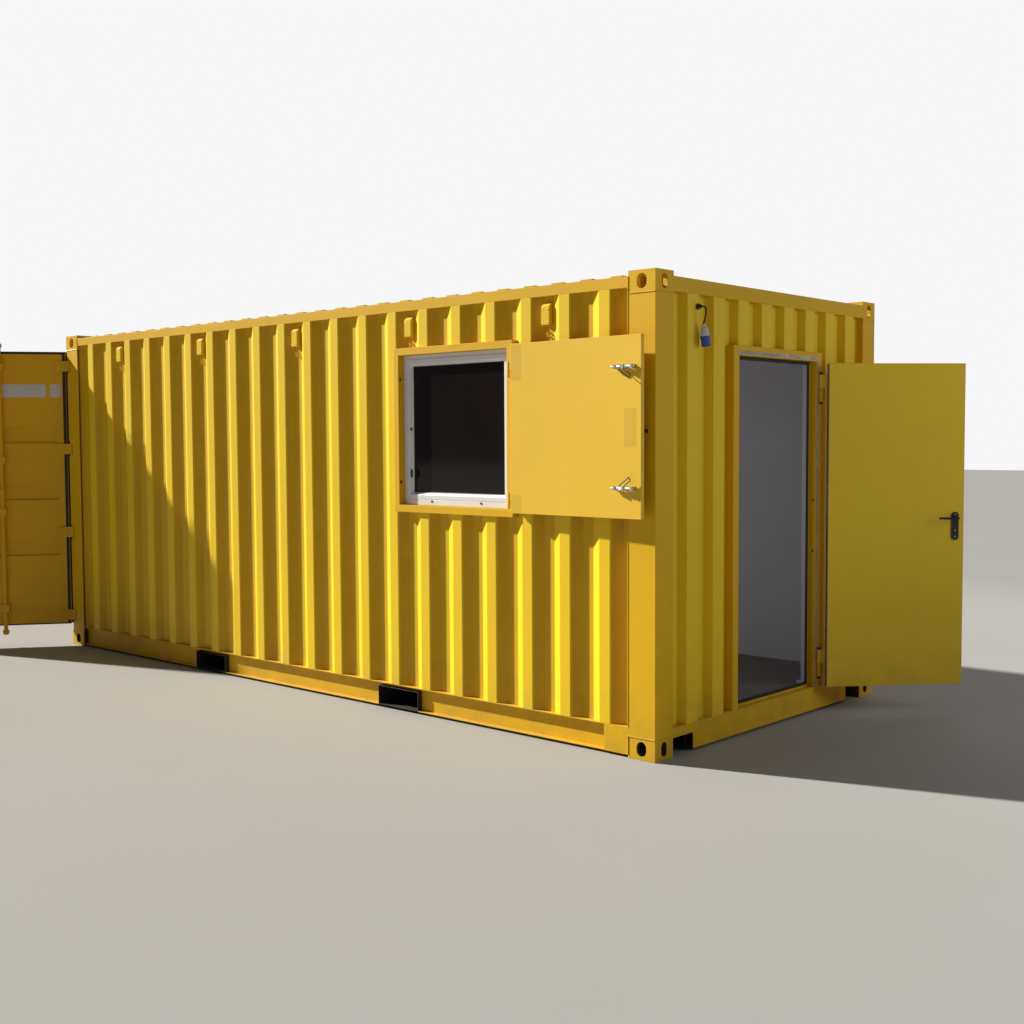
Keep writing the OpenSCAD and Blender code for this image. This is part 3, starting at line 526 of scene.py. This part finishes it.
def buildWindow(w):
    mesh = bmesh.new()
    # fixed frame, then the sash standing 6 mm proud of it
    mitredRing(mesh, w["left"], w["right"], w["low"], w["high"], w["front"],
               [(0.0, 0.008), (0.002, 0.006), (0.038, 0.006), (0.040, 0.009), (0.040, 0.060),
                (0.0, 0.060)])
    x0, x1 = w["left"] + w["sashIn"], w["right"] - w["sashIn"]
    z0, z1 = w["low"] + w["sashRaise"], w["high"] - w["sashIn"]
    mitredRing(mesh, x0, x1, z0, z1, w["front"],
               [(0.0, 0.003), (0.003, 0.0), (0.027, 0.0), (0.030, 0.002), (0.040, 0.019),
                (0.042, 0.024), (0.042, 0.056), (0.0, 0.056)])
    # flat sill member below the sash
    softBox(mesh, (x0, w["front"] + 0.0004, w["low"] + 0.001),
            (x1, w["front"] + 0.010, z0 - 0.0008), 0.002)
    sash = addPiece("sashWindow", mesh, finish["pvc"], "cabin")
    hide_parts("window_frame")
    mesh = bmesh.new()
    seal = w["sashIn"] + 0.0415
    mitredRing(mesh, w["left"] + seal, w["right"] - seal, w["low"] + w["sashRaise"] + 0.0415,
               w["high"] - seal, w["front"],
               [(0.0, 0.026), (0.004, 0.027), (0.0055, 0.0305), (0.0, 0.0305)])
    addPiece("glazingSeal", mesh, finish["rubber"], "cabin")
    mesh = bmesh.new()
    for x in w["capX"]:  # drain covers on the frame bottom
        lathe(mesh, (x, w["front"] + 0.0008, w["capZ"]), (0, -1, 0),
              [(0.0, 0.0075), (0.003, 0.0070), (0.0042, 0.0052), (0.0042, 0.0)], 20)
    addPiece("drainCovers", mesh, finish["black"], "cabin", True)
    mesh = bmesh.new()
    for z, half in w["catches"]:
        softBox(mesh, (w["left"] + 0.0655, w["front"] - 0.0035, z - half),
                (w["left"] + 0.0720, w["front"] + 0.0080, z + half), 0.003)
    addPiece("sashCatches", mesh, finish["black"], "cabin")


buildWindow(window)
print("window built")


lead = {
    "exit": (3.055, -0.838, 2.419), "reach": (0.044, 0.006, 0.0),
    "plug": (3.065, -0.832, 2.325), "tilt": 13.0, "lift": 0.055, "pull": (0.008, 0.022, 0.0),
    "radius": 0.0045, "steps": 24,
}


def buildLead(c):
    start, end = Vector(c["exit"]), Vector(c["plug"])
    tilt = math.radians(c["tilt"])
    down = Vector((0, math.sin(tilt), -math.cos(tilt)))
    first = start + Vector(c["reach"])
    second = end - down * c["lift"] + Vector(c["pull"])
    points = []
    for i in range(c["steps"] + 1):
        t = i / c["steps"]
        points.append((1 - t) ** 3 * start + 3 * t * (1 - t) ** 2 * first
                      + 3 * t * t * (1 - t) * second + t ** 3 * end)
    length = sum((b - a).length for a, b in zip(points, points[1:]))
    mesh = bmesh.new()
    tube(mesh, points, [c["radius"]] * len(points), 14)
    sheath = addPiece("supplyLead", mesh, finish["cable"], "cabin", True)
    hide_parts("supply_cord")
    # pale body with grip ribs, blue collar with its key and the pins inside
    mesh = bmesh.new()
    outline = [(0.0, 0.0085), (0.0015, 0.0105), (0.012, 0.0120), (0.0135, 0.0145),
               (0.016, 0.0165)]
    for k in range(7):
        reach = 0.019 + k * 0.0062
        radius = 0.0172 + 0.0014 * k
        outline += [(reach, radius), (reach + 0.0026, radius + 0.0012),
                    (reach + 0.0044, radius + 0.0002)]
    outline += [(0.064, 0.0262), (0.064, 0.0)]
    lathe(mesh, end, down, outline, 36)
    body = addPiece("plugBody", mesh, finish["plugGrey"], "cabin", True)
    mesh = bmesh.new()
    lathe(mesh, end, down, [(0.0635, 0.0), (0.0635, 0.0270), (0.0650, 0.0280),
                            (0.0705, 0.0280), (0.0720, 0.0270), (0.0725, 0.0250),
                            (0.1205, 0.0250), (0.1220, 0.0243), (0.1220, 0.0212),
                            (0.0840, 0.0210), (0.0840, 0.0)], 40)
    side = Vector((0, -math.cos(tilt), -math.sin(tilt)))
    centre = end + down * 0.086 + side * 0.0265
    key = bmesh.ops.create_cube(mesh, size=1.0)
    spin = Matrix((Vector((1, 0, 0)), side, down)).transposed()
    for v in key["verts"]:
        v.co = centre + spin @ Vector((v.co.x * 0.010, v.co.y * 0.008, v.co.z * 0.040))
    collar = addPiece("plugCollar", mesh, finish["plugBlue"], "cabin", True)
    mesh = bmesh.new()
    for a in (0, 120, 240):
        turn = math.radians(a)
        foot = end + down * 0.082 + (Vector((1, 0, 0)) * math.cos(turn)
                                     + side * math.sin(turn)) * 0.012
        lathe(mesh, foot, down, [(0.0, 0.0024), (0.030, 0.0024), (0.0325, 0.0014),
                                 (0.033, 0.0)], 12)
    pins = addPiece("plugPins", mesh, finish["zinc"], "cabin", True)
    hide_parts("supply_plug")


buildLead(lead)
print("supply lead built")


personnel = {
    "pin": (3.045, 0.490), "open": 138.0, "leafFace": 3.037, "leafBack": 2.995,
    "plateT": 0.006, "leverY": -0.356, "plateMid": 1.158, "cylinderZ": 1.130,
}


def swung(pin, degrees, point):
    turn = math.radians(degrees)
    x, y = point[0] - pin[0], point[1] - pin[1]
    return Vector((pin[0] + x * math.cos(turn) - y * math.sin(turn),
                   pin[1] + x * math.sin(turn) + y * math.cos(turn), point[2]))


def buildDoorFurniture(d):
    def at(x, y, z):
        return swung(d["pin"], d["open"], (x, y, z))

    outward = at(1, 0, 0) - at(0, 0, 0)
    mesh = bmesh.new()
    for sign, x in ((1, d["leafFace"] + d["plateT"]), (-1, d["leafBack"] - d["plateT"])):
        for z in (d["plateMid"] - 0.066, d["plateMid"] + 0.072):
            domeHead(mesh, at(x, d["leverY"], z), outward * sign, 0.0042, 0.0022)
        # profile cylinder: round head with its flat tail
        lathe(mesh, at(x, d["leverY"], d["cylinderZ"]), outward * sign,
              [(-0.004, 0.0048), (0.0022, 0.0048), (0.0030, 0.0040), (0.0030, 0.0)], 24)
    addPiece("lockScrews", mesh, finish["zinc"], "personnel_door", True)


buildDoorFurniture(personnel)

leafEdge = {  # strips on the hinge edge of the open leaf, and the foot of the reveal
    "edgeY": 0.455, "low": 0.167, "high": 2.164, "thick": 0.0022,
    "pale": (3.0005, 3.0145), "dark": (3.0165, 3.0225), "pale2": (3.0240, 3.0310),
    "foot": ((2.925, 0.4235, 0.168), (2.9805, 0.4298, 0.196)),
}


def buildLeafEdge(d):
    for name, key, look in (("edgeStrips", ("pale", "pale2"), "strip"),
                            ("edgeSeal", ("dark",), "rubber")):
        mesh = bmesh.new()
        for x0, x1 in [d[k] for k in key]:
            softBox(mesh, (x0, d["edgeY"] - 0.0004, d["low"]),
                    (x1, d["edgeY"] + d["thick"], d["high"]), 0.0006)
        for v in mesh.verts:
            v.co = swung(personnel["pin"], personnel["open"], v.co)
        addPiece(name, mesh, finish[look], "personnel_door")
    mesh = bmesh.new()
    softBox(mesh, *d["foot"], 0.002)
    addPiece("revealFoot", mesh, finish["reveal"], "cabin")


buildLeafEdge(leafEdge)

opening = {  # seal lip round the opening, pale strips on the frame (painted highlight along its front edges, partly light sealant) and hinge caps
    "left": -0.387, "right": 0.432, "low": 0.181, "high": 2.169, "lip": 0.012,
    "notch": (1.062, 1.254), "notchLip": 0.006,   # cut back beside the lock plate
    "inner": (2.9820, 2.9895), "face": (3.0306, 3.0328),
    "head": (-0.424, 0.476, 2.186, 2.204), "jamb": (0.466, 0.476, 0.165, 2.186),
    "hinges": (0.307, 2.015), "half": 0.084, "capRadius": 0.0118, "capLong": 0.013,
}


def buildOpening(d):
    mesh = bmesh.new()
    left, right, low, high, lip = [d[k] for k in ("left", "right", "low", "high", "lip")]
    z2, z3 = d["notch"]
    for y0, y1, z0, z1 in ((left, left + lip, low, z2), (left, left + lip, z3, high),
                           (left, left + d["notchLip"], z2, z3), (right - lip, right, low, high),
                           (left, right, low, low + lip), (left, right, high - lip, high)):
        softBox(mesh, (d["inner"][0], y0, z0), (d["inner"][1], y1, z1), 0.002)
    addPiece("openingSeal", mesh, finish["rubber"], "cabin")
    # pale strips on the frame face: painted highlight along its front edges, partly light sealant
    mesh = bmesh.new()
    for y0, y1, z0, z1 in (d["head"], d["jamb"]):
        softBox(mesh, (d["face"][0], y0, z0), (d["face"][1], y1, z1), 0.0006)
    addPiece("frameLipHighlight", mesh, finish["lip"], "cabin")
    pinX, pinY = personnel["pin"]
    for name, body, side in (("hingeCapsLow", "cabin", -1), ("hingeCapsHigh", "personnel_door", 1)):
        mesh = bmesh.new()
        for z in d["hinges"]:
            lathe(mesh, (pinX, pinY, z + side * (d["half"] + 0.0006)), (0, 0, side),
                  [(0.0, d["capRadius"]), (d["capLong"] - 0.002, d["capRadius"]),
                   (d["capLong"], d["capRadius"] * 0.8), (d["capLong"], 0.0)], 24)
        addPiece(name, mesh, finish["black"], body, True)


buildOpening(opening)

ventRow = {
    "places": [0.0265 + 1.122 * i for i in (-2, -1, 0, 1, 2)], "half": 0.028, "low": 2.347,
    "high": 2.455, "front": 1.215, "rivet": 0.0036,
}


def buildVentRivets(v):
    mesh = bmesh.new()
    for side in (-1, 1):
        for x in v["places"]:
            for dx in (-0.018, 0.018):
                for z in (v["low"] + 0.014, v["high"] - 0.022):
                    domeHead(mesh, (x + dx, side * v["front"], z), (0, side, 0), v["rivet"],
                             0.0022)
    addPiece("ventRivets", mesh, finish["zinc"], "cabin", True)


buildVentRivets(ventRow)

holdBack = {"place": (2.972, -1.219, 1.750), "radius": 0.0075, "long": 0.026}


def buildHoldBack(h):  # rubber stub that the open shutter rests against
    mesh = bmesh.new()
    lathe(mesh, h["place"], (0, -1, 0),
          [(-0.001, h["radius"] * 1.5), (0.003, h["radius"] * 1.5), (0.004, h["radius"]),
           (h["long"] - 0.003, h["radius"]), (h["long"], h["radius"] * 0.6),
           (h["long"], 0.0)], 20)
    addPiece("shutterBuffer", mesh, finish["rubber"], "cabin", True)


buildHoldBack(holdBack)

blankLabels = {  # plain pale plates on the open cargo leaf, distances from its hinge edge
    "pin": (-3.005, -1.205), "open": 144.0, "skinX": -2.979, "hingeY": -1.165,
    "strips": [(0.040, 0.125), (0.158, 0.590)], "low": 2.085, "high": 2.192,
}


def buildLabels(b):
    mesh = bmesh.new()
    for near, far in b["strips"]:
        corners = []
        for x in (b["skinX"] + 0.0002, b["skinX"] - 0.0009):
            for y in (b["hingeY"] + near, b["hingeY"] + far):
                for z in (b["low"], b["high"]):
                    corners.append(mesh.verts.new(swung(b["pin"], b["open"], (x, y, z))))
        for ring in ((0, 1, 3, 2), (4, 6, 7, 5), (0, 2, 6, 4), (1, 5, 7, 3), (0, 4, 5, 1),
                     (2, 3, 7, 6)):
            mesh.faces.new([corners[i] for i in ring])
    addPiece("blankPlates", mesh, finish["label"], "cargo_door")


buildLabels(blankLabels)

doorSeals = {  # black seal that shows round the outer face of each cargo leaf
    "pin": (-3.005, -1.205), "open": 144.0, "skinX": -2.979, "thick": 0.0014,
    "hingeY": 1.165, "freeY": 0.006, "low": 0.173, "high": 2.453, "hingeWide": 0.024,
    "wide": 0.010,
}


def buildDoorSeals(d):
    x0, x1 = d["skinX"] - d["thick"], d["skinX"] + 0.0004
    free, edge, low, high, wide = [d[k] for k in ("freeY", "hingeY", "low", "high", "wide")]
    strips = ((free, free + wide, low, high), (edge - d["hingeWide"], edge, low, high),
              (free, edge, low, low + wide), (free, edge, high - wide, high))
    for name, body, side in (("leftSealFace", "cabin", 1), ("rightSealFace", "cargo_door", -1)):
        mesh = bmesh.new()
        for y0, y1, z0, z1 in strips:
            softBox(mesh, (x0, y0, z0), (x1, y1, z1), 0.0005)
        for v in mesh.verts:
            if side < 0:
                v.co = swung(d["pin"], d["open"], (v.co.x, -v.co.y, v.co.z))
        addPiece(name, mesh, finish["rubber"], body)


buildDoorSeals(doorSeals)

weld = {
    "radius": 0.0035, "step": 0.006, "ripple": 0.28, "jitter": 0.12,
    "halfLong": 3.029, "halfWide": 1.219, "castLong": 0.178, "castWide": 0.162,
    "castHigh": 0.118, "top": 2.591, "postFace": 0.012,
    "castLow": 0.018, "railTop": 0.030, "sheetLow": 0.166, "sheetHigh": 2.472,
}


def weldLine(mesh, start, end, w):
    start, end = Vector(start), Vector(end)
    count = max(3, int((end - start).length / w["step"]))
    points = [start.lerp(end, i / count) for i in range(count + 1)]
    radii = [w["radius"] * (1 + w["ripple"] * (0.5 - (i % 3) / 2)
                            + random.uniform(-w["jitter"], w["jitter"]))
             for i in range(count + 1)]
    tube(mesh, points, radii, 6)


def buildWelds(w):
    mesh = bmesh.new()
    hx, hy, cx, cy, cz, high = [w[k] for k in ("halfLong", "halfWide", "castLong", "castWide",
                                               "castHigh", "top")]
    for sx in (-1, 1):
        for sy in (-1, 1):
            for z in (cz, high - cz):
                if sx > 0:  # round the two outer faces of each door-end casting
                    weldLine(mesh, (hx - cx, sy * hy, z), (hx, sy * hy, z), w)
                    weldLine(mesh, (hx, sy * (hy - cy), z), (hx, sy * hy, z), w)
                else:
                    weldLine(mesh, (cx - hx, sy * hy, z), (w["postFace"] - hx, sy * hy, z), w)
            x = sx * (hx - cx)
            for z0, z1 in ((w["castLow"], cz), (high - cz + 0.006, high - w["railTop"])):
                weldLine(mesh, (x, sy * hy, z0), (x, sy * hy, z1), w)
    for sy in (-1, 1):  # wall sheet to post
        for x in (hx - cx, cx - hx):
            y = sy * (hy - 0.001)
            weldLine(mesh, (x, y, w["sheetLow"]), (x, y, w["sheetHigh"]), w)
    addPiece("weldBeads", mesh, finish["frame"], "cabin", True)


buildWelds(weld)
print("fixings and welds built")


def buildStage():
    mesh = bmesh.new()
    bmesh.ops.create_grid(mesh, x_segments=1, y_segments=1, size=60.0)
    for v in mesh.verts:
        v.co.z = -0.0006
    data = bpy.data.meshes.new("studioFloor")
    mesh.to_mesh(data)
    mesh.free()
    data.materials.append(studioFloor())
    ground = bpy.data.objects.new("studioFloor", data)
    bpy.context.scene.collection.objects.link(ground)


studio = {
    "travel": (3.1, 1.0, -1.85), "key": 7.3, "keyColour": (1.0, 0.955, 0.86), "spread": 1.6,
    "dome": (0.95, 0.97, 1.0), "domeLevel": 0.12, "backdrop": (0.93, 0.93, 0.93),
    # name, place, point it faces, size and watts of each soft lamp
    "panels": [("roomLight", (0.6, -1.0, 1.30), (0.6, 1.2, 1.15), (4.2, 1.9), 15.0),
               ("endFill", (8.5, 2.6, 3.0), (3.0, 0.3, 1.2), (3.0, 3.0), 80.0),
               ("backFill", (2.0, 7.0, 4.0), (1.0, 0.0, 1.2), (5.0, 3.0), 60.0)],
}


def buildLights(s):
    key = bpy.data.lights.new("keyLight", "SUN")
    key.energy, key.color = s["key"], s["keyColour"]
    key.angle = math.radians(s["spread"])
    lamp = bpy.data.objects.new("keyLight", key)
    lamp.rotation_mode = "QUATERNION"
    lamp.rotation_quaternion = Vector(s["travel"]).to_track_quat("-Z", "Y")
    bpy.context.scene.collection.objects.link(lamp)
    for name, place, faces, size, watts in s["panels"]:
        soft = bpy.data.lights.new(name, "AREA")
        soft.shape = "RECTANGLE"
        soft.size, soft.size_y = size
        soft.energy = watts
        panel = bpy.data.objects.new(name, soft)
        panel.location = place
        panel.rotation_mode = "QUATERNION"
        panel.rotation_quaternion = (Vector(faces) - Vector(place)).to_track_quat("-Z", "Y")
        bpy.context.scene.collection.objects.link(panel)
    world = bpy.data.worlds.new("studioDome")
    sky = Graph(world)
    dome = sky.node("ShaderNodeBackground", None,
                    {"Color": rgba(s["dome"]), "Strength": s["domeLevel"]})
    seen = sky.node("ShaderNodeBackground", None, {"Color": rgba(s["backdrop"])})
    straight = sky.node("ShaderNodeLightPath", out="Is Camera Ray")
    both = sky.node("ShaderNodeMixShader", None, {0: straight, 1: dome, 2: seen})
    sky.node("ShaderNodeOutputWorld", None, {"Surface": both})
    bpy.context.scene.world = world
    bpy.context.scene.view_settings.view_transform = "Standard"


view = {
    "place": (6.9352, -6.6068, 1.7055), "yaw": 132.3936, "pitch": -3.2355, "roll": -0.3040,
    "focal": 1269.945, "sensor": 36.0, "frame": 1024.0,
}


def buildCamera(v):
    yaw, pitch, roll = [math.radians(v[k]) for k in ("yaw", "pitch", "roll")]
    ahead = Vector((math.cos(yaw) * math.cos(pitch), math.sin(yaw) * math.cos(pitch),
                    math.sin(pitch)))
    right = Vector((math.sin(yaw), -math.cos(yaw), 0))
    up = right.cross(ahead)
    turnedRight = right * math.cos(roll) + up * math.sin(roll)
    turnedUp = up * math.cos(roll) - right * math.sin(roll)
    data = bpy.data.cameras.new("camera")
    data.sensor_width = v["sensor"]
    data.lens = v["sensor"] * v["focal"] / v["frame"]
    data.clip_end = 200
    camera = bpy.data.objects.new("camera", data)
    bpy.context.scene.collection.objects.link(camera)
    spin = Matrix((turnedRight, turnedUp, -ahead)).transposed()
    camera.matrix_world = Matrix.Translation(v["place"]) @ spin.to_4x4()
    bpy.context.scene.camera = camera


buildStage()
buildLights(studio)
buildCamera(view)
print("studio ready")
